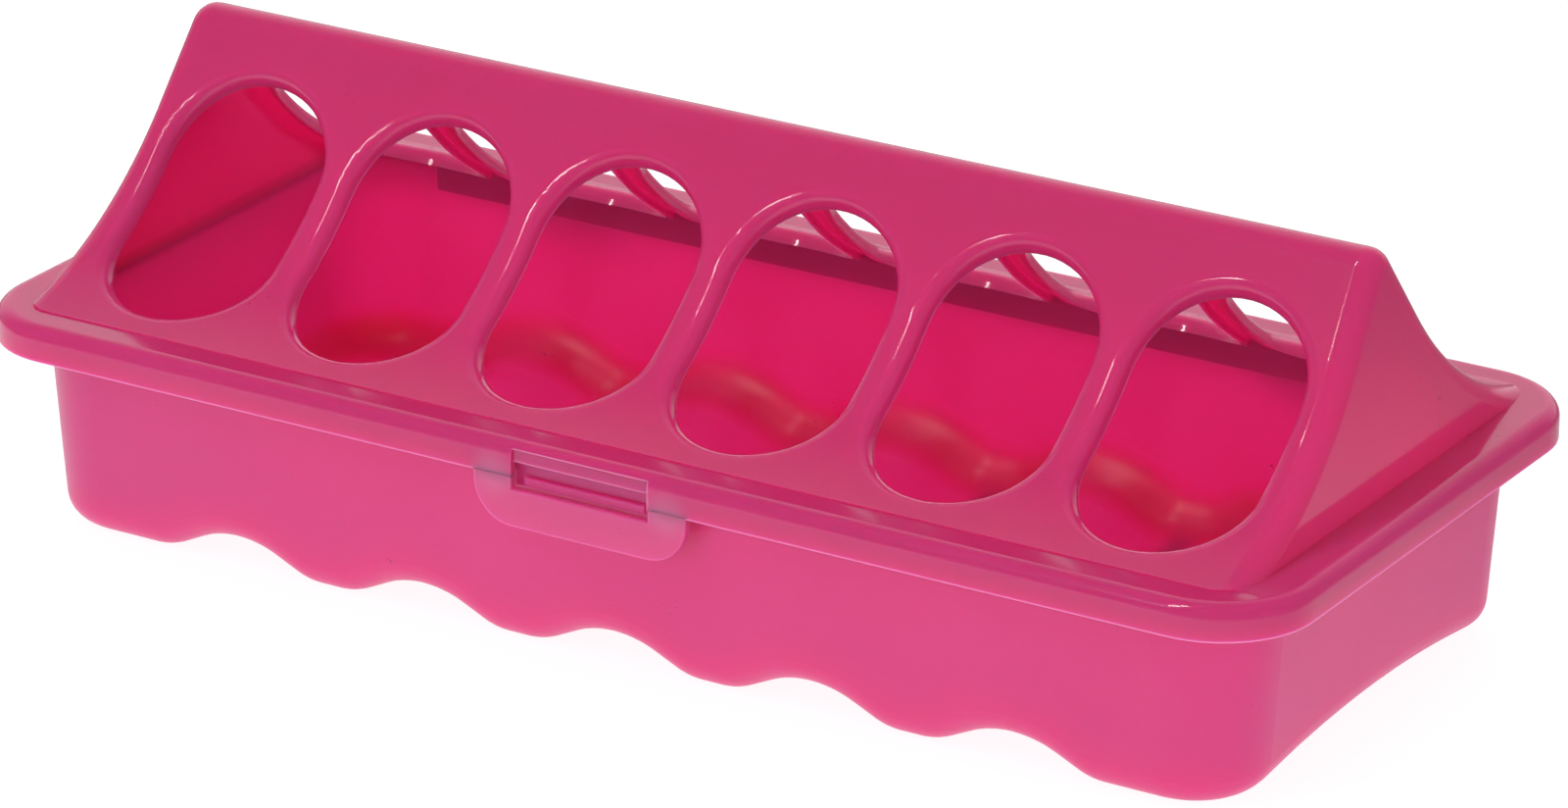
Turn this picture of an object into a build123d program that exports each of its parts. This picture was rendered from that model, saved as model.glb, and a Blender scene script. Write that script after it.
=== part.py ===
"""A flip-top feed trough for chicks: a wavy-bottomed trough, a hinged roof with twelve feeding holes,
and the springy latch tab on the front of the roof. Millimetres. X runs along the trough, the front
with the latch faces -Y, and Z is up from the surface that the feet stand on."""
import os
from math import atan2, cos, hypot, radians, sin, tan

from build123d import *

# Overall sizes
RIM_LENGTH = 300.0            # the lid's rim, end to end
RIM_WIDTH = 138.6             # the lid's rim, front to back
RIM_CORNER = 20.0             # plan radius of the rim's corners
RIDGE_HEIGHT = 95.6           # feet to the top of the ridge
TROUGH_TOP = 44.3             # feet to the top of the trough's flange

# Trough
BASE_END_INSET = 11.4         # from the rim's ends to the trough's outside at the level of the feet
BASE_SIDE_INSET = 10.0        # the same at the long sides
BASE_CORNER = 16.0
DRAFT_ANGLE = 4.0             # the walls lean outwards by this
TROUGH_WALL = 1.8
TROUGH_FLOOR = 1.8
BOTTOM_EDGE_RADIUS = 6.0      # outside, where the walls turn into the bottom
POCKET_EDGE_RADIUS = 11.0     # inside, where the walls turn into the floor
FLANGE_THICKNESS = 1.5
LIP_THICKNESS = 1.5
LIP_HEIGHT = 3.7              # the turned-down lip, from the top of the flange
LIP_GAP = 1.4                 # between the lip and the inside of the lid's skirt

# Wavy bottom: a recess under each bar between two holes, and a shallow arch under each end wall
RECESS_SLOPE = 25.8           # degrees
RECESS_CREST_RADIUS = 22.0
FOOT_WIDTH = 10.8             # the flat foot between two recesses, to where their slopes would meet it
FOOT_RADIUS = 14.0
END_ARCH_SLOPE = 7.0          # degrees
END_ARCH_INSET = 10.3         # from the long sides of the base to where the arch's slopes would start
END_ARCH_RADIUS = 300.0
END_ARCH_FOOT_RADIUS = 60.0
END_ARCH_DEPTH = 43.5         # how far in from the end of the base it reaches

# Lid: rim
LID_WALL = 1.8
LID_SEAT_GAP = 0.3            # between the trough's flange and the lid that rests above it
SKIRT_OVERLAP = 4.2           # the skirt reaches this far below the top of the flange
SKIRT_THICKNESS = 1.7
RIM_THICKNESS = 2.7           # from the seat on the flange to the flat top of the rim
RIM_EDGE_RADIUS = 3.0         # where the flat top turns down into the skirt
RIM_HOLLOW_WIDTH = 2.2
RIM_HOLLOW_HEIGHT = 0.9
RIB_OVERLAP = 4.7             # the ribs that locate the lid reach this far below the top of the flange
RIB_THICKNESS = 1.5
RIB_END_INSET = 32.0          # from the rim's ends
FRONT_RIB_CLEARANCE = 0.5
REAR_RIB_CLEARANCE = 1.4      # more at the rear, where the rib swings on the hinge

# Lid: roof
ROOF_FOOT_INSET = 8.4         # from the rim's long sides to the foot of the roof
ROOF_END_INSET = 9.4          # from the rim's ends to the foot of the gables
FOOT_STEP = 0.3               # from the flat top of the rim up to the foot of the roof
FOOT_TRIM = 0.1               # the foot is trimmed this much before its flare ends
FOOT_RUN_ON = 6.0             # the section runs on this far below the seat before it is trimmed
RIDGE_RADIUS = 5.6
FLANK_STEEPER = 14.67         # degrees: beside the ridge, than a straight line from ridge to foot
FOOT_FLATTER = 22.73          # degrees: at the end of the flared foot, than the same line
GABLE_LEAN = 3.5              # the gables lean inwards by this, degrees
GABLE_EDGE_RADIUS = 4.5
ROOF_FOOT_CORNER = 7.0        # plan radius of the roof's corners at its foot

# Feeding holes
HOLES_PER_SIDE = 6
HOLE_END_INSET = 27.725       # from a gable's foot to the middle of the hole beside it
BAR_WIDTH = 7.95              # between two holes
HOLE_TOP_INSET = 9.3          # down the flank from where the ridge's rounding ends
HOLE_BOTTOM_INSET = 6.2       # up the flared foot from its lower edge
HOLE_EDGE_RADIUS = 2.9        # the edge round each hole turns in by this
HOLE_LIP_LAND = 0.3           # the straight part of the turned-in edge, below its rounding
HOLE_LIP_THICKNESS = 1.6
HOLE_CUT_DEPTH = 12.0         # how far the cut for a hole reaches into the roof

# Latch
TAB_WIDTH = 49.0
TAB_LENGTH = 10.5             # below the lower edge of the skirt
TAB_THICKNESS = 1.65
TAB_CORNER = 9.0
TAB_EDGE_RADIUS = 0.4
TAB_FLEX_GAP = 0.3            # the thin bending line between the skirt and the tab
WINDOW_WIDTH = 31.4
WINDOW_DROP = 2.5             # the window reaches this far below the lower edge of the skirt
WINDOW_RISE = 3.1             # and this far above it
WINDOW_RECESS_HEIGHT = 2.7    # the shallow recess in the skirt above the window
WINDOW_RECESS_DEPTH = 0.8
CATCH_LENGTH = 27.8
CATCH_DROP = 6.3              # from the top of the flange to the lower side of the catch bar
CATCH_HEIGHT = 1.8
CATCH_CLEARANCE = 0.3         # between the catch bar and the inside of the tab
CATCH_EDGE_RADIUS = 0.4
CATCH_PLATE_LENGTH = 33.0
LONG_LIP_HEIGHT = 7.1         # where the turned-down lip reaches lower, behind the latch and at the hinges

# Hinge at the rear
HINGE_INSET = 59.7            # from the rim's ends to the middles of the two hinges
HINGE_BAR_RADIUS = 2.0
HINGE_CLEARANCE = 0.1
HINGE_OFFSET = 3.6            # from the outside of the skirt to the hinge line
HINGE_RISE = 0.4              # the hinge line above the lower edge of the skirt
CLIP_LENGTH = 17.6
CLIP_RADIUS = 3.7
CLIP_MOUTH = 3.4
LUG_GAP = 0.4                 # between the clip and each lug, along the bar
LUG_THICKNESS = 3.0
LUG_RADIUS = 3.0
LUG_ARM_HEIGHT = 2.5
LUG_SKIRT_GAP = 0.4           # between the lug's arm and the lower edge of the skirt

# Working margins
CUT_MARGIN = 1.0              # how far a cut runs past what it cuts
SAME_HEIGHT = 0.01            # faces and edges this close in height count as level

# Places that follow from the sizes above
half_length = RIM_LENGTH / 2
half_width = RIM_WIDTH / 2
base_length = RIM_LENGTH - 2 * BASE_END_INSET
base_width = RIM_WIDTH - 2 * BASE_SIDE_INSET
wall_lean = tan(radians(DRAFT_ANGLE))
skirt_inside_x = half_length - SKIRT_THICKNESS
skirt_inside_y = half_width - SKIRT_THICKNESS
skirt_inside_corner = RIM_CORNER - SKIRT_THICKNESS
lip_outside_x = skirt_inside_x - LIP_GAP
lip_outside_y = skirt_inside_y - LIP_GAP
lip_outside_corner = skirt_inside_corner - LIP_GAP
seat_height = TROUGH_TOP + LID_SEAT_GAP
skirt_bottom = TROUGH_TOP - SKIRT_OVERLAP
rim_top = seat_height + RIM_THICKNESS
roof_foot_z = rim_top + FOOT_STEP
roof_foot_y = half_width - ROOF_FOOT_INSET
roof_foot_x = half_length - ROOF_END_INSET
hinge_y = half_width + HINGE_OFFSET
hinge_z = skirt_bottom + HINGE_RISE
hinge_rows = [HINGE_INSET - half_length, half_length - HINGE_INSET]
tab_top = skirt_bottom - TAB_FLEX_GAP
tab_bottom = skirt_bottom - TAB_LENGTH
hole_pitch = 2 * (roof_foot_x - HOLE_END_INSET) / (HOLES_PER_SIDE - 1)
hole_width = hole_pitch - BAR_WIDTH
hole_rows = [(i - (HOLES_PER_SIDE - 1) / 2) * hole_pitch for i in range(HOLES_PER_SIDE)]
recess_rows = [row + hole_pitch / 2 for row in hole_rows[:-1]]
recess_run = (hole_pitch - FOOT_WIDTH) / 2
recess_rise = recess_run * tan(radians(RECESS_SLOPE))

# The roof's section: a ridge arc, a straight flank and a flared foot that meets the flank smoothly
roof_slope = atan2(RIDGE_HEIGHT - roof_foot_z, roof_foot_y)
flank = roof_slope + radians(FLANK_STEEPER)
foot = roof_slope - radians(FOOT_FLATTER)
ridge_centre = RIDGE_HEIGHT - RIDGE_RADIUS
flank_top = (RIDGE_RADIUS * sin(flank), ridge_centre + RIDGE_RADIUS * cos(flank))
foot_off_flank = (roof_foot_y - flank_top[0]) * sin(flank) + (roof_foot_z - flank_top[1]) * cos(flank)
flare_radius = foot_off_flank / (1 - cos(flank - foot))
flare_y = roof_foot_y + flare_radius * sin(foot)
flare_z = roof_foot_z + flare_radius * cos(foot)

# The feeding holes' ends on the outside of that section, and the plane through them
hole_low_angle = foot + HOLE_BOTTOM_INSET / flare_radius
hole_low = (flare_y - flare_radius * sin(hole_low_angle), flare_z - flare_radius * cos(hole_low_angle))
hole_high = (flank_top[0] + HOLE_TOP_INSET * cos(flank), flank_top[1] - HOLE_TOP_INSET * sin(flank))
hole_length = hypot(hole_low[0] - hole_high[0], hole_high[1] - hole_low[1])
hole_slope = atan2(hole_high[1] - hole_low[1], hole_low[0] - hole_high[0])
hole_middle = ((hole_high[0] + hole_low[0]) / 2, (hole_high[1] + hole_low[1]) / 2)

os.makedirs("parts", exist_ok=True)


def rounded_block(half_x, half_y, corner, bottom, top):
    """A plain block with rounded upright corners, centred on the trough."""
    with BuildPart() as block:
        with BuildSketch(Plane.XY.offset(bottom)):
            RectangleRounded(2 * half_x, 2 * half_y, corner)
        extrude(amount=top - bottom)
    return block.part


def tapered_box(inset, bottom, top):
    """The trough's drafted outline between two heights, drawn in by the wall."""
    with BuildPart() as box:
        for height in (bottom, top):
            growth = height * wall_lean - inset
            with BuildSketch(Plane.XY.offset(height)):
                RectangleRounded(base_length + 2 * growth, base_width + 2 * growth, BASE_CORNER + growth)
        loft(ruled=True)
    return box.part


def below_the_wave(raise_by):
    """The space below the wavy bottom, as a solid that runs front to back."""
    start = (-RIM_LENGTH, raise_by)
    end = (RIM_LENGTH, raise_by)
    corners = []
    radii = []
    for row in recess_rows:
        corners += [(row - recess_run, raise_by), (row, recess_rise + raise_by), (row + recess_run, raise_by)]
        radii += [FOOT_RADIUS - raise_by, RECESS_CREST_RADIUS + raise_by, FOOT_RADIUS - raise_by]
    with BuildPart() as space:
        with BuildSketch(Plane.XZ):
            with BuildLine():
                FilletPolyline([start] + corners + [end], radius=radii)
                Polyline(end, (RIM_LENGTH, -RIM_WIDTH), (-RIM_LENGTH, -RIM_WIDTH), start)
            make_face()
        extrude(amount=RIM_WIDTH, both=True)
    return space.part


def below_the_end_arches(raise_by):
    """The space below the shallow arch under each end wall, as two solids that run along X."""
    start = (-RIM_WIDTH, raise_by)
    end = (RIM_WIDTH, raise_by)
    reach = base_width / 2 - END_ARCH_INSET
    corners = [(-reach, raise_by), (0, reach * tan(radians(END_ARCH_SLOPE)) + raise_by), (reach, raise_by)]
    radii = [END_ARCH_FOOT_RADIUS - raise_by, END_ARCH_RADIUS + raise_by, END_ARCH_FOOT_RADIUS - raise_by]
    with BuildPart() as space:
        for side in (-1, 1):
            with BuildSketch(Plane.YZ.offset(side * (base_length / 2 - END_ARCH_DEPTH))):
                with BuildLine():
                    FilletPolyline([start] + corners + [end], radius=radii)
                    Polyline(end, (RIM_WIDTH, -RIM_WIDTH), (-RIM_WIDTH, -RIM_WIDTH), start)
                make_face()
            extrude(amount=side * RIM_LENGTH / 2)
    return space.part


def lower_end_edges(body):
    """The bottom's edges at its two ends. Rounding them carries on along the wavy edges that they join."""
    low_edges = body.edges().filter_by(lambda edge: edge.center().Z < recess_rise + TROUGH_FLOOR)
    return low_edges.filter_by(lambda edge: abs(edge.center().X) > (base_length - BASE_CORNER) / 2)


def roof_body(inset, edge_radius=None):
    """The roof as a closed body, drawn in by a wall. Its section runs on outwards and down past the foot, and
    is then trimmed to the foot's outline and to the height that the lid rests at. It is left sharp and
    untrimmed where no radius is given for the gables' edges."""
    radius = RIDGE_RADIUS - inset
    flare = flare_radius + inset
    middle = (flank + foot) / 2
    ridge_top = (0, ridge_centre + radius)
    ridge_middle = (radius * sin(flank / 2), ridge_centre + radius * cos(flank / 2))
    ridge_side = (radius * sin(flank), ridge_centre + radius * cos(flank))
    flare_top = (flare_y - flare * sin(flank), flare_z - flare * cos(flank))
    flare_middle = (flare_y - flare * sin(middle), flare_z - flare * cos(middle))
    flare_foot = (flare_y - flare * sin(foot), flare_z - flare * cos(foot))
    low_z = seat_height - FOOT_RUN_ON
    flare_end = (flare_foot[0] + (flare_foot[1] - low_z) / tan(foot), low_z)
    lean = tan(radians(GABLE_LEAN))
    gable_middle = roof_foot_x - inset / cos(radians(GABLE_LEAN))
    gable_low = gable_middle - lean * (low_z - roof_foot_z)
    gable_high = gable_middle - lean * (RIM_LENGTH - roof_foot_z)
    with BuildPart() as body:
        with BuildSketch(Plane.YZ):
            with BuildLine():
                ThreePointArc(ridge_top, ridge_middle, ridge_side)
                Line(ridge_side, flare_top)
                ThreePointArc(flare_top, flare_middle, flare_foot)
                Polyline(flare_foot, flare_end, (0, low_z), ridge_top)
            make_face()
            mirror(about=Plane.YZ)
        extrude(amount=half_length, both=True)
        for side in (-1, 1):
            with BuildSketch(Plane.XZ):
                with BuildLine():
                    Polyline((side * gable_low, low_z), (side * gable_high, RIM_LENGTH),
                             (side * RIM_LENGTH, RIM_LENGTH), (side * RIM_LENGTH, low_z), close=True)
                make_face()
            extrude(amount=RIM_WIDTH, both=True, mode=Mode.SUBTRACT)
        if edge_radius:
            ends = body.faces().sort_by(Axis.X)
            gable_edges = ends[0].edges() + ends[-1].edges()
            fillet(gable_edges.filter_by(lambda edge: edge.center().Z > low_z + SAME_HEIGHT), edge_radius)
            add(rounded_block(roof_foot_x - inset, roof_foot_y - FOOT_TRIM - inset, ROOF_FOOT_CORNER - inset,
                              seat_height, RIM_LENGTH), mode=Mode.INTERSECT)
    return body.part


def hole_prisms(grow):
    """The twelve feeding holes as straight prisms, square to the line between a hole's two ends."""
    with BuildPart() as prisms:
        for side in (-1, 1):
            facing = (0, side * sin(hole_slope), cos(hole_slope))
            middle = (0, side * hole_middle[0], hole_middle[1])
            with BuildSketch(Plane(origin=middle, x_dir=(1, 0, 0), z_dir=facing)):
                with Locations(*[(row, 0) for row in hole_rows]):
                    SlotOverall(hole_length + 2 * grow, hole_width + 2 * grow, rotation=90)
            extrude(amount=HOLE_CUT_DEPTH, both=True)
    return prisms.part


def is_hole_rim(edge):
    """True for an edge of a feeding hole that lies near the outside of the roof."""
    place = edge.center()
    outward = (abs(place.Y) - hole_middle[0]) * sin(hole_slope) + (place.Z - hole_middle[1]) * cos(hole_slope)
    return outward > -HOLE_CUT_DEPTH / 2


# The trough, with its flange, lip, catch bar and hinge bars
lug_reach = CLIP_LENGTH / 2 + LUG_GAP + LUG_THICKNESS
lug_top = skirt_bottom - LUG_SKIRT_GAP
catch_nose = -half_width + TAB_THICKNESS + CATCH_CLEARANCE
catch_depth = -lip_outside_y - catch_nose

with BuildPart() as trough_outside:
    add(tapered_box(0, -CUT_MARGIN, TROUGH_TOP))
    add(below_the_wave(0), mode=Mode.SUBTRACT)
    add(below_the_end_arches(0), mode=Mode.SUBTRACT)
    fillet(lower_end_edges(trough_outside), BOTTOM_EDGE_RADIUS)

with BuildPart() as trough_inside:
    add(tapered_box(TROUGH_WALL, TROUGH_FLOOR - CUT_MARGIN, TROUGH_TOP + CUT_MARGIN))
    add(below_the_wave(TROUGH_FLOOR), mode=Mode.SUBTRACT)
    fillet(lower_end_edges(trough_inside), POCKET_EDGE_RADIUS)
    add(below_the_end_arches(TROUGH_FLOOR), mode=Mode.SUBTRACT)

with BuildPart() as trough_body:
    add(trough_outside.part)
    add(rounded_block(lip_outside_x, lip_outside_y, lip_outside_corner, TROUGH_TOP - FLANGE_THICKNESS,
                      TROUGH_TOP))
    # the turned-down lip
    with BuildSketch(Plane.XY.offset(TROUGH_TOP - LIP_HEIGHT)):
        RectangleRounded(2 * lip_outside_x, 2 * lip_outside_y, lip_outside_corner)
        RectangleRounded(2 * (lip_outside_x - LIP_THICKNESS), 2 * (lip_outside_y - LIP_THICKNESS),
                         lip_outside_corner - LIP_THICKNESS, mode=Mode.SUBTRACT)
    extrude(amount=LIP_HEIGHT)
    # the lip reaches lower behind the latch and at the hinges
    with BuildSketch(Plane.XY.offset(TROUGH_TOP - LONG_LIP_HEIGHT)):
        with Locations((0, -lip_outside_y + LIP_THICKNESS / 2)):
            Rectangle(CATCH_PLATE_LENGTH, LIP_THICKNESS)
        with Locations(*[(row, lip_outside_y - LIP_THICKNESS / 2) for row in hinge_rows]):
            Rectangle(2 * lug_reach, LIP_THICKNESS)
    extrude(amount=LONG_LIP_HEIGHT)
    # the catch bar that shows through the window of the latch
    with Locations((0, catch_nose + catch_depth / 2, TROUGH_TOP - CATCH_DROP + CATCH_HEIGHT / 2)):
        Box(CATCH_LENGTH, catch_depth, CATCH_HEIGHT)
    fillet(trough_body.faces().filter_by(Axis.Y).sort_by(Axis.Y)[0].edges(), CATCH_EDGE_RADIUS)
    # the lugs and the round bars of the hinges
    for row in hinge_rows:
        for side in (-1, 1):
            with BuildSketch(Plane.YZ.offset(row + side * (CLIP_LENGTH / 2 + LUG_GAP))):
                with Locations((hinge_y, hinge_z)):
                    Circle(LUG_RADIUS)
                with BuildLine():
                    Polyline((lip_outside_y - LIP_THICKNESS, lug_top), (hinge_y, lug_top),
                             (hinge_y, lug_top - LUG_ARM_HEIGHT),
                             (lip_outside_y - LIP_THICKNESS, lug_top - LUG_ARM_HEIGHT), close=True)
                make_face()
            extrude(amount=side * LUG_THICKNESS)
        with BuildSketch(Plane.YZ.offset(row)):
            with Locations((hinge_y, hinge_z)):
                Circle(HINGE_BAR_RADIUS)
        extrude(amount=lug_reach, both=True)
    add(trough_inside.part, mode=Mode.SUBTRACT)

# The lid, with its rim, roof, feeding holes and hinge clips
rib_bottom = TROUGH_TOP - RIB_OVERLAP
rib_wall = base_width / 2 + rib_bottom * wall_lean - TROUGH_WALL
front_rib = -(rib_wall - FRONT_RIB_CLEARANCE - RIB_THICKNESS / 2)
rear_rib = rib_wall - REAR_RIB_CLEARANCE - RIB_THICKNESS / 2
skirt_middle = half_width - SKIRT_THICKNESS / 2

with BuildPart() as roof:
    add(roof_body(0, GABLE_EDGE_RADIUS))
    add(hole_prisms(0), mode=Mode.SUBTRACT)
    hole_edges = roof.edges(Select.LAST).filter_by(Axis.X, reverse=True)
    fillet(hole_edges.filter_by(is_hole_rim), HOLE_EDGE_RADIUS)

with BuildPart() as turned_in_edges:
    add(hole_prisms(HOLE_LIP_THICKNESS))
    add(roof_body(HOLE_EDGE_RADIUS + HOLE_LIP_LAND), mode=Mode.SUBTRACT)

with BuildPart() as roof_inside:
    add(roof_body(LID_WALL, GABLE_EDGE_RADIUS - LID_WALL))
    add(turned_in_edges.part, mode=Mode.SUBTRACT)

with BuildPart() as lid_body:
    # the rim: a flat slab with a rounded outer edge, a skirt and a hollow underside
    add(rounded_block(half_length, half_width, RIM_CORNER, skirt_bottom, rim_top))
    fillet(lid_body.faces().sort_by(Axis.Z)[-1].edges(), RIM_EDGE_RADIUS)
    add(rounded_block(skirt_inside_x, skirt_inside_y, skirt_inside_corner, skirt_bottom - CUT_MARGIN,
                      seat_height), mode=Mode.SUBTRACT)
    with BuildSketch(Plane.XY.offset(seat_height)):
        RectangleRounded(2 * skirt_inside_x, 2 * skirt_inside_y, skirt_inside_corner)
        RectangleRounded(2 * (skirt_inside_x - RIM_HOLLOW_WIDTH), 2 * (skirt_inside_y - RIM_HOLLOW_WIDTH),
                         skirt_inside_corner - RIM_HOLLOW_WIDTH, mode=Mode.SUBTRACT)
    extrude(amount=RIM_HOLLOW_HEIGHT, mode=Mode.SUBTRACT)
    # the slab's middle gives way to the roof
    add(roof_body(0, GABLE_EDGE_RADIUS), mode=Mode.SUBTRACT)
    add(roof.part)
    add(roof_inside.part, mode=Mode.SUBTRACT)
    # the ribs that locate the lid inside the trough
    with BuildSketch(Plane.XY.offset(rib_bottom)):
        with Locations((0, front_rib), (0, rear_rib)):
            Rectangle(RIM_LENGTH - 2 * RIB_END_INSET, RIB_THICKNESS)
    extrude(amount=rim_top - rib_bottom)
    # the window for the catch bar, and the shallow recess above it
    with BuildSketch(Plane.XY.offset(skirt_bottom - CUT_MARGIN)):
        with Locations((0, -skirt_middle)):
            Rectangle(WINDOW_WIDTH, SKIRT_THICKNESS)
    extrude(amount=WINDOW_RISE + CUT_MARGIN, mode=Mode.SUBTRACT)
    with BuildSketch(Plane.XY.offset(skirt_bottom + WINDOW_RISE)):
        with Locations((0, -half_width + WINDOW_RECESS_DEPTH / 2)):
            Rectangle(WINDOW_WIDTH, WINDOW_RECESS_DEPTH)
    extrude(amount=WINDOW_RECESS_HEIGHT, mode=Mode.SUBTRACT)
    # the clips that snap over the trough's hinge bars
    for row in hinge_rows:
        with BuildSketch(Plane.YZ.offset(row)):
            with Locations((hinge_y, hinge_z)):
                Circle(CLIP_RADIUS)
            with BuildLine():
                Polyline((skirt_middle, hinge_z), (hinge_y, hinge_z),
                         (hinge_y, hinge_z + CLIP_RADIUS), (skirt_middle, hinge_z + CLIP_RADIUS),
                         close=True)
            make_face()
            with Locations((hinge_y, hinge_z)):
                Circle(HINGE_BAR_RADIUS + HINGE_CLEARANCE, mode=Mode.SUBTRACT)
            with Locations((hinge_y, hinge_z - CLIP_RADIUS)):
                Rectangle(CLIP_MOUTH, 2 * CLIP_RADIUS, mode=Mode.SUBTRACT)
        extrude(amount=CLIP_LENGTH / 2, both=True)

# The latch tab that hangs from the front of the lid's skirt and bends along its upper edge
with BuildPart() as latch_tab:
    with BuildSketch(Plane.XZ.offset(half_width - TAB_THICKNESS)) as tab_outline:
        with Locations((0, (tab_bottom + tab_top) / 2)):
            Rectangle(TAB_WIDTH, tab_top - tab_bottom)
        fillet(tab_outline.vertices().sort_by(Axis.Y)[:2], TAB_CORNER)
        with Locations((0, skirt_bottom)):
            Rectangle(WINDOW_WIDTH, 2 * WINDOW_DROP, mode=Mode.SUBTRACT)
    extrude(amount=TAB_THICKNESS)
    front_edges = latch_tab.faces().sort_by(Axis.Y)[0].edges()
    fillet(front_edges.filter_by(lambda edge: edge.center().Z < tab_top - SAME_HEIGHT), TAB_EDGE_RADIUS)

# The pieces in their own frame. Its origin lies below the middle of the whole, hinge clips included.
middle_y = (hinge_y + CLIP_RADIUS - half_width) / 2

with BuildPart() as trough:
    with Locations((0, -middle_y, 0)):
        add(trough_body.part)
trough.part.label = "trough"
export_step(trough.part, "parts/trough.step")

with BuildPart() as lid:
    with Locations((0, -middle_y, 0)):
        add(lid_body.part)
lid.part.label = "lid"
export_step(lid.part, "parts/lid.step")

with BuildPart() as latch:
    with Locations((0, -middle_y, 0)):
        add(latch_tab.part)
latch.part.label = "latch"
export_step(latch.part, "parts/latch.step")
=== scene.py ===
"""A flip-top feed trough for chicks, moulded in magenta polypropylene, on white under soft light."""

from math import radians

import bmesh
import bpy
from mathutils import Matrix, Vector


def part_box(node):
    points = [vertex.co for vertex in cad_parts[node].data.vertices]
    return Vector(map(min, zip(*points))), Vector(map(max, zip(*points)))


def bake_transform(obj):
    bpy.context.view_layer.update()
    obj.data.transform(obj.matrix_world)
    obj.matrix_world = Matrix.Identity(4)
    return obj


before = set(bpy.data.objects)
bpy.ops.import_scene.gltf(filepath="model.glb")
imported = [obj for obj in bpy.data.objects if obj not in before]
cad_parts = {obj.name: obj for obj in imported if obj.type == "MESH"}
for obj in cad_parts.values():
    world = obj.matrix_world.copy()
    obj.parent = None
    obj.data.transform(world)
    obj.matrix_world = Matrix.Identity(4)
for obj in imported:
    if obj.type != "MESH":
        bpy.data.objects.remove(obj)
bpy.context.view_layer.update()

MM = 0.001

# The latch bends along the thin line between the lid's skirt and the tab, on both sides of the window
latch_low, latch_high = (Vector(corner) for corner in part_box("latch"))
BEND_GAP = 0.3 * MM
WINDOW_HALF_WIDTH = 15.7 * MM
BEND_MIDDLE = ((WINDOW_HALF_WIDTH + latch_high.x) / 2, -latch_low.y, latch_high.z + BEND_GAP / 2)
BEND_ROWS = 7

# What polypropylene does with light
POLYPROPYLENE_IOR = 1.49
LIGHT_DEPTH = 12 * MM
LIGHT_DEPTH_BY_COLOUR = (1.0, 0.35, 0.55)
# Pale pink round the latch's bend: partly whitening from bending, partly a painted highlight where the skirt
# blends into the tab
BEND_WHITENING_AND_HIGHLIGHT = "#e4799f"
SCUFFED = "#5a0a2a"

# Sizes of the marks in its skin
FLOW_MARK = 40 * MM
SCUFF_PATCH = 22 * MM
SCUFF = 1.1 * MM
PEEL = 1.5 * MM
PEEL_DEPTH = 0.05 * MM
WHITENED_STREAK = 2 * MM
# How far the paler bend reaches: partly whitening from bending, partly a painted highlight
BEND_WHITENING_AND_HIGHLIGHT_CORE = 1.5 * MM
BEND_WHITENING_AND_HIGHLIGHT_REACH = 6.5 * MM

# The light table under the paper: its middle, how far from there its light reaches, and its level
FLOOR_HALF_SIZE = 4.0
PANEL_MIDDLE = (-0.1, -0.2, 0)
PANEL_FULL_LIGHT = 0.25
PANEL_NO_LIGHT = 0.6
PANEL_LEVEL = 0.9
PAPER_GLOW = 0.9

# The direction of the bright backdrop, as a share of each axis
TO_BACKDROP = (-0.5, 0.85, 0.15)


def paint(hex_colour):
    """An sRGB hex colour as linear RGB and alpha."""
    parts = [int(hex_colour[i:i + 2], 16) / 255 for i in (1, 3, 5)]
    return tuple(p / 12.92 if p <= 0.04045 else ((p + 0.055) / 1.055) ** 2.4 for p in parts) + (1.0,)


def add_node(tree, kind, inputs=(), **settings):
    """Adds a node, sets its properties, and fills its inputs with values or with other nodes' outputs."""
    node = tree.nodes.new(kind)
    for name, value in settings.items():
        setattr(node, name, value)
    for socket, value in dict(inputs).items():
        if isinstance(value, bpy.types.NodeSocket):
            tree.links.new(value, node.inputs[socket])
        else:
            node.inputs[socket].default_value = value
    return node


def new_material(name):
    """An empty material and its node tree."""
    material = bpy.data.materials.new(name)
    material.use_nodes = True
    material.node_tree.nodes.clear()
    return material, material.node_tree


def finish_material(tree, surface):
    """Sends the surface's shader to the material's output."""
    output = add_node(tree, "ShaderNodeOutputMaterial")
    tree.links.new(surface, output.inputs["Surface"])


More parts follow.
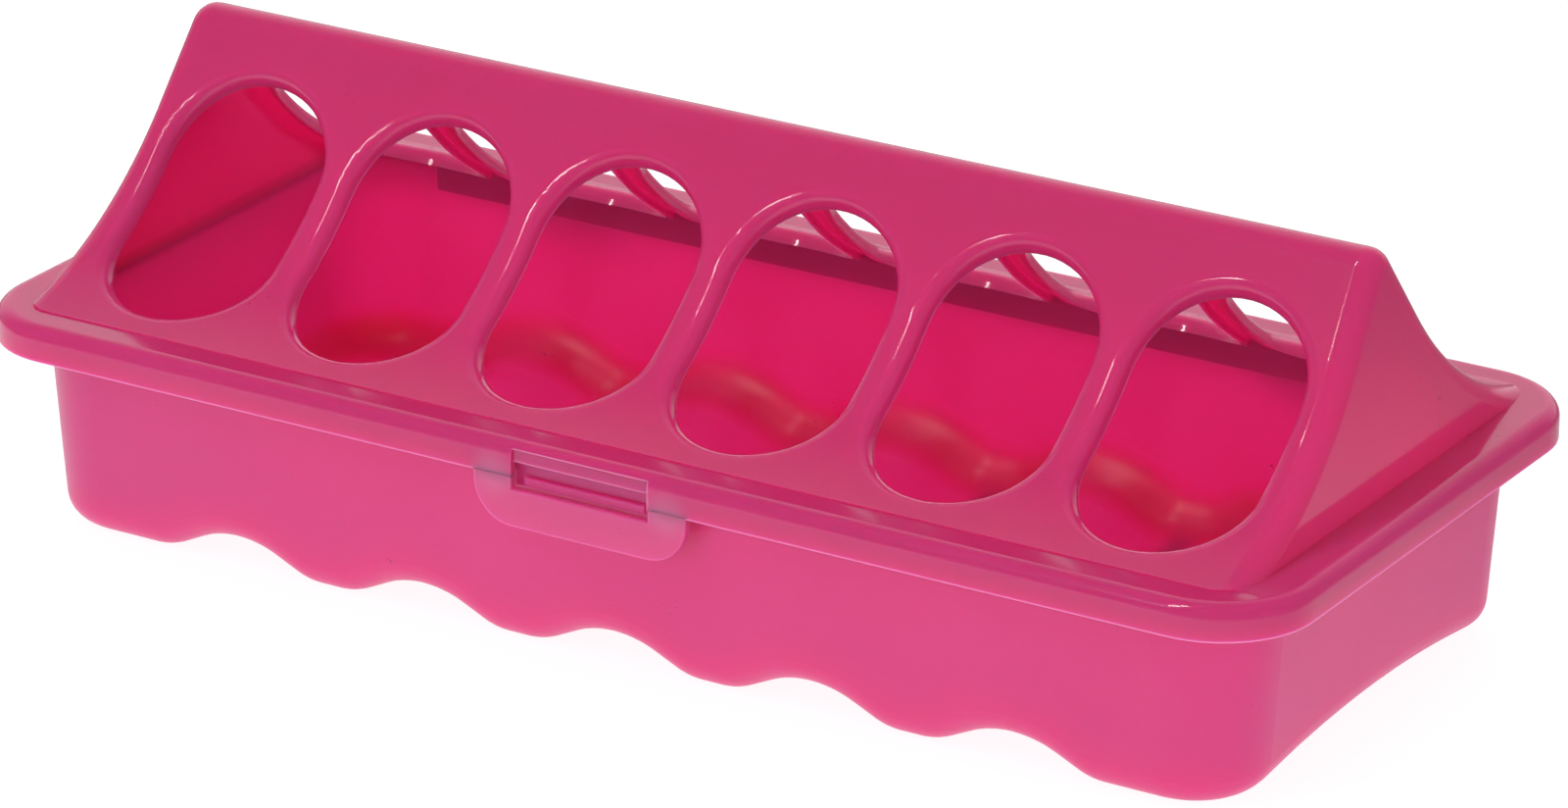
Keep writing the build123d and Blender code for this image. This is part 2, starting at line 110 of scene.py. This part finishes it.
def moulded_polypropylene(name, colour, deep_colour, roughness):
    """Polypropylene from a polished mould. Light goes a few millimetres in, red furthest, so the thin walls
    glow from within. Its skin has a clear waxy gloss, and slow swirls from the melt's flow shift the colour
    a little. Round the latch's bend it is paler: partly whitened by bending, partly a painted highlight where
    the skirt blends into the tab. A few dark scuffs mark it."""
    material, tree = new_material(name)
    place = add_node(tree, "ShaderNodeTexCoord").outputs["Object"]
    # the melt's flow marks shift the colour
    flow = add_node(tree, "ShaderNodeTexNoise", {"Vector": place, "Scale": 1 / FLOW_MARK, "Detail": 2.0})
    tint = add_node(tree, "ShaderNodeMix", {"Factor": flow.outputs["Fac"], "A": paint(colour),
                                            "B": paint(deep_colour)}, data_type="RGBA")
    # paler round the latch's bend: partly whitened by bending, partly a painted highlight on the blend
    one_side = add_node(tree, "ShaderNodeVectorMath", {0: place}, operation="ABSOLUTE")
    off_bend = add_node(tree, "ShaderNodeVectorMath", {0: one_side.outputs["Vector"], 1: BEND_MIDDLE},
                        operation="DISTANCE")
    bend_whitening_and_highlight_mask = add_node(tree, "ShaderNodeMapRange", {"Value": off_bend.outputs["Value"],
                                                     "From Min": BEND_WHITENING_AND_HIGHLIGHT_REACH, "From Max": BEND_WHITENING_AND_HIGHLIGHT_CORE,
                                                     "To Max": 0.4}, interpolation_type="SMOOTHSTEP")
    with_bend_whitening_and_highlight = add_node(tree, "ShaderNodeMix", {"Factor": bend_whitening_and_highlight_mask.outputs["Result"],
                                            "A": tint.outputs["Result"], "B": paint(BEND_WHITENING_AND_HIGHLIGHT)},
                    data_type="RGBA")
    # short scuffs, in a few scattered patches
    patches = add_node(tree, "ShaderNodeTexNoise", {"Vector": place, "Scale": 1 / SCUFF_PATCH})
    marks = add_node(tree, "ShaderNodeTexNoise", {"Vector": place, "Scale": 1 / SCUFF, "Distortion": 1.5})
    marked = add_node(tree, "ShaderNodeMath", {0: patches.outputs["Fac"], 1: marks.outputs["Fac"]},
                      operation="MULTIPLY")
    scuff = add_node(tree, "ShaderNodeMapRange", {"Value": marked.outputs["Value"], "From Min": 0.47,
                                                  "From Max": 0.53, "To Max": 0.6})
    worn = add_node(tree, "ShaderNodeMix", {"Factor": scuff.outputs["Result"], "A": with_bend_whitening_and_highlight.outputs["Result"],
                                            "B": paint(SCUFFED)}, data_type="RGBA")
    # the mould's polish leaves a faint orange peel
    peel = add_node(tree, "ShaderNodeTexNoise", {"Vector": place, "Scale": 1 / PEEL, "Detail": 2.0})
    bump = add_node(tree, "ShaderNodeBump", {"Height": peel.outputs["Fac"], "Strength": 0.04,
                                             "Distance": PEEL_DEPTH})
    gloss = add_node(tree, "ShaderNodeMapRange", {"Value": flow.outputs["Fac"], "To Min": roughness - 0.03,
                                                  "To Max": roughness + 0.05})
    skin = add_node(tree, "ShaderNodeBsdfPrincipled", {
        "Base Color": worn.outputs["Result"], "Roughness": gloss.outputs["Result"],
        "IOR": POLYPROPYLENE_IOR, "Subsurface Weight": 1.0, "Subsurface Radius": LIGHT_DEPTH_BY_COLOUR,
        "Subsurface Scale": LIGHT_DEPTH, "Normal": bump.outputs["Normal"]})
    finish_material(tree, skin.outputs["BSDF"])
    return material


def whitened_bend():
    """The thinnest part of the latch's bend: polypropylene that bending has turned pale, dull and opaque."""
    material, tree = new_material("stress_whitened_polypropylene")
    place = add_node(tree, "ShaderNodeTexCoord").outputs["Object"]
    # the whitening is uneven along the bend
    streaks = add_node(tree, "ShaderNodeTexNoise", {"Vector": place, "Scale": 1 / WHITENED_STREAK})
    tint = add_node(tree, "ShaderNodeMix", {"Factor": streaks.outputs["Fac"], "A": paint("#c84a7c"),
                                            "B": paint("#d45c8c")}, data_type="RGBA")
    skin = add_node(tree, "ShaderNodeBsdfPrincipled", {"Base Color": tint.outputs["Result"],
                                                       "Roughness": 0.6, "IOR": POLYPROPYLENE_IOR})
    finish_material(tree, skin.outputs["BSDF"])
    return material


def latch_bend(name, side, material):
    """One of the two thin webs that join the tab to the skirt, beside the window."""
    x_inner = side * WINDOW_HALF_WIDTH
    x_outer = side * latch_high.x
    web = bmesh.new()
    rings = []
    for row in range(BEND_ROWS):
        z = latch_high.z + BEND_GAP * row / (BEND_ROWS - 1)
        corners = ((x_inner, latch_low.y), (x_outer, latch_low.y),
                   (x_outer, latch_high.y), (x_inner, latch_high.y))
        rings.append([web.verts.new((x, y, z)) for x, y in corners])
    for low, high in zip(rings, rings[1:]):
        for i in range(4):
            web.faces.new((low[i], low[(i + 1) % 4], high[(i + 1) % 4], high[i]))
    web.faces.new(reversed(rings[0]))
    web.faces.new(rings[-1])
    bmesh.ops.recalc_face_normals(web, faces=web.faces)
    mesh = bpy.data.meshes.new(name)
    web.to_mesh(mesh)
    web.free()
    mesh.materials.append(material)
    piece = bpy.data.objects.new(name, mesh)
    bpy.context.scene.collection.objects.link(piece)
    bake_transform(piece)


def camera_or_transmission_ray(tree):
    """1 for a ray that the camera sees directly or through a clear thing, else 0."""
    seen = add_node(tree, "ShaderNodeLightPath")
    shown = add_node(tree, "ShaderNodeMath", {0: seen.outputs["Is Camera Ray"],
                                              1: seen.outputs["Is Transmission Ray"]}, operation="MAXIMUM")
    return shown.outputs["Value"]


def white_floor():
    """White paper on a light table. The camera sees it as white, with the object's soft shadow on it. The
    table's lit panel is as wide as its light reaches, and brightens the object from below."""
    edge = FLOOR_HALF_SIZE
    mesh = bpy.data.meshes.new("white_floor")
    mesh.from_pydata([(-edge, -edge, 0), (edge, -edge, 0), (edge, edge, 0), (-edge, edge, 0)], [],
                     [(0, 1, 2, 3)])
    floor = bpy.data.objects.new("white_floor", mesh)
    bpy.context.scene.collection.objects.link(floor)
    material, tree = new_material("matt_white_paper")
    shown = camera_or_transmission_ray(tree)
    place = add_node(tree, "ShaderNodeTexCoord").outputs["Object"]
    off_panel = add_node(tree, "ShaderNodeVectorMath", {0: place, 1: PANEL_MIDDLE}, operation="DISTANCE")
    panel = add_node(tree, "ShaderNodeMapRange", {"Value": off_panel.outputs["Value"],
                                                  "From Min": PANEL_NO_LIGHT, "From Max": PANEL_FULL_LIGHT},
                     interpolation_type="SMOOTHSTEP")
    dimmed = add_node(tree, "ShaderNodeMath", {0: panel.outputs["Result"], 1: PANEL_LEVEL},
                      operation="MULTIPLY")
    lit = add_node(tree, "ShaderNodeMath", {0: shown, 1: dimmed.outputs["Value"]}, operation="MAXIMUM")
    lift = add_node(tree, "ShaderNodeMath", {0: lit.outputs["Value"], 1: PAPER_GLOW}, operation="MULTIPLY")
    paper = add_node(tree, "ShaderNodeBsdfDiffuse", {"Color": paint("#808080")})
    glow = add_node(tree, "ShaderNodeEmission", {"Color": paint("#ffffff"),
                                                 "Strength": lift.outputs["Value"]})
    both = add_node(tree, "ShaderNodeAddShader", {0: paper.outputs["BSDF"], 1: glow.outputs["Emission"]})
    finish_material(tree, both.outputs["Shader"])
    mesh.materials.append(material)


def studio_world():
    """White where the camera sees it. It lights the object from a bright backdrop behind it, and much less
    from the dim room above and in front."""
    world = bpy.data.worlds.new("white_studio")
    bpy.context.scene.world = world
    world.use_nodes = True
    tree = world.node_tree
    tree.nodes.clear()
    shown = camera_or_transmission_ray(tree)
    direction = add_node(tree, "ShaderNodeTexCoord").outputs["Generated"]
    to_backdrop = add_node(tree, "ShaderNodeVectorMath", {0: direction, 1: TO_BACKDROP},
                           operation="DOT_PRODUCT")
    level = add_node(tree, "ShaderNodeMapRange", {"Value": to_backdrop.outputs["Value"], "From Min": 0.5,
                                                  "From Max": 0.95, "To Min": 0.2, "To Max": 0.9})
    light = add_node(tree, "ShaderNodeBackground", {"Color": paint("#ffffff"),
                                                    "Strength": level.outputs["Result"]})
    white = add_node(tree, "ShaderNodeBackground", {"Color": paint("#ffffff"), "Strength": 1.0})
    mix = add_node(tree, "ShaderNodeMixShader", {0: shown, 1: light.outputs["Background"],
                                                 2: white.outputs["Background"]})
    output = add_node(tree, "ShaderNodeOutputWorld")
    tree.links.new(mix.outputs["Shader"], output.inputs["Surface"])


def softbox(name, place, width, height, power, mirrored=True):
    """A rectangular lamp that faces the object. A fill lamp isn't mirrored by the gloss."""
    lamp = bpy.data.lights.new(name, "AREA")
    lamp.shape = "RECTANGLE"
    lamp.size = width
    lamp.size_y = height
    lamp.energy = power
    holder = bpy.data.objects.new(name, lamp)
    bpy.context.scene.collection.objects.link(holder)
    holder.location = place
    middle_of_object = Vector((0, 0, 0.05))
    holder.rotation_euler = (middle_of_object - Vector(place)).to_track_quat("-Z", "Y").to_euler()
    holder.visible_glossy = mirrored


def photograph_camera():
    """The camera at the photograph's place, angle and lens, as fitted to the object's outlines."""
    camera_data = bpy.data.cameras.new("camera")
    camera_data.sensor_width = 36.0
    camera_data.lens = 178.94
    camera_data.clip_start = 0.05
    camera_data.clip_end = 50.0
    camera = bpy.data.objects.new("camera", camera_data)
    bpy.context.scene.collection.objects.link(camera)
    camera.location = (0.76163, -1.23905, 0.62150)
    camera.rotation_euler = (radians(67.9983), radians(-0.1594), radians(31.5771))
    bpy.context.scene.camera = camera


# Colours, from pale to deep, and the roughness that each mould's polish leaves
lid_plastic = moulded_polypropylene("lid_moulded_polypropylene", "#e63a79", "#df3371", 0.08)
trough_plastic = moulded_polypropylene("trough_moulded_polypropylene", "#dc3e84", "#d6377d", 0.33)
latch_plastic = moulded_polypropylene("latch_moulded_polypropylene", "#ea5089", "#e44882", 0.15)
for node_name, plastic in (("trough", trough_plastic), ("lid", lid_plastic), ("latch", latch_plastic)):
    node_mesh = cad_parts[node_name].data
    node_mesh.materials.clear()
    node_mesh.materials.append(plastic)

bend_plastic = whitened_bend()
latch_bend("latch_bend_left", -1, bend_plastic)
latch_bend("latch_bend_right", 1, bend_plastic)

white_floor()
studio_world()
softbox("key_strip", (-0.36, -0.86, 1.2), 0.07, 1.0, 5.0)
softbox("front_fill", (0.1, -1.7, 0.5), 1.4, 0.8, 12.0, mirrored=False)
softbox("overhead_fill", (-0.1, 0.2, 1.6), 1.4, 1.4, 5.5, mirrored=False)
softbox("back_fill", (-0.6, 1.5, 0.5), 1.6, 0.9, 12.0, mirrored=False)
softbox("right_fill", (1.6, 0.2, 0.5), 0.9, 0.7, 9.0, mirrored=False)

photograph_camera()
bpy.context.scene.view_settings.view_transform = "Standard"
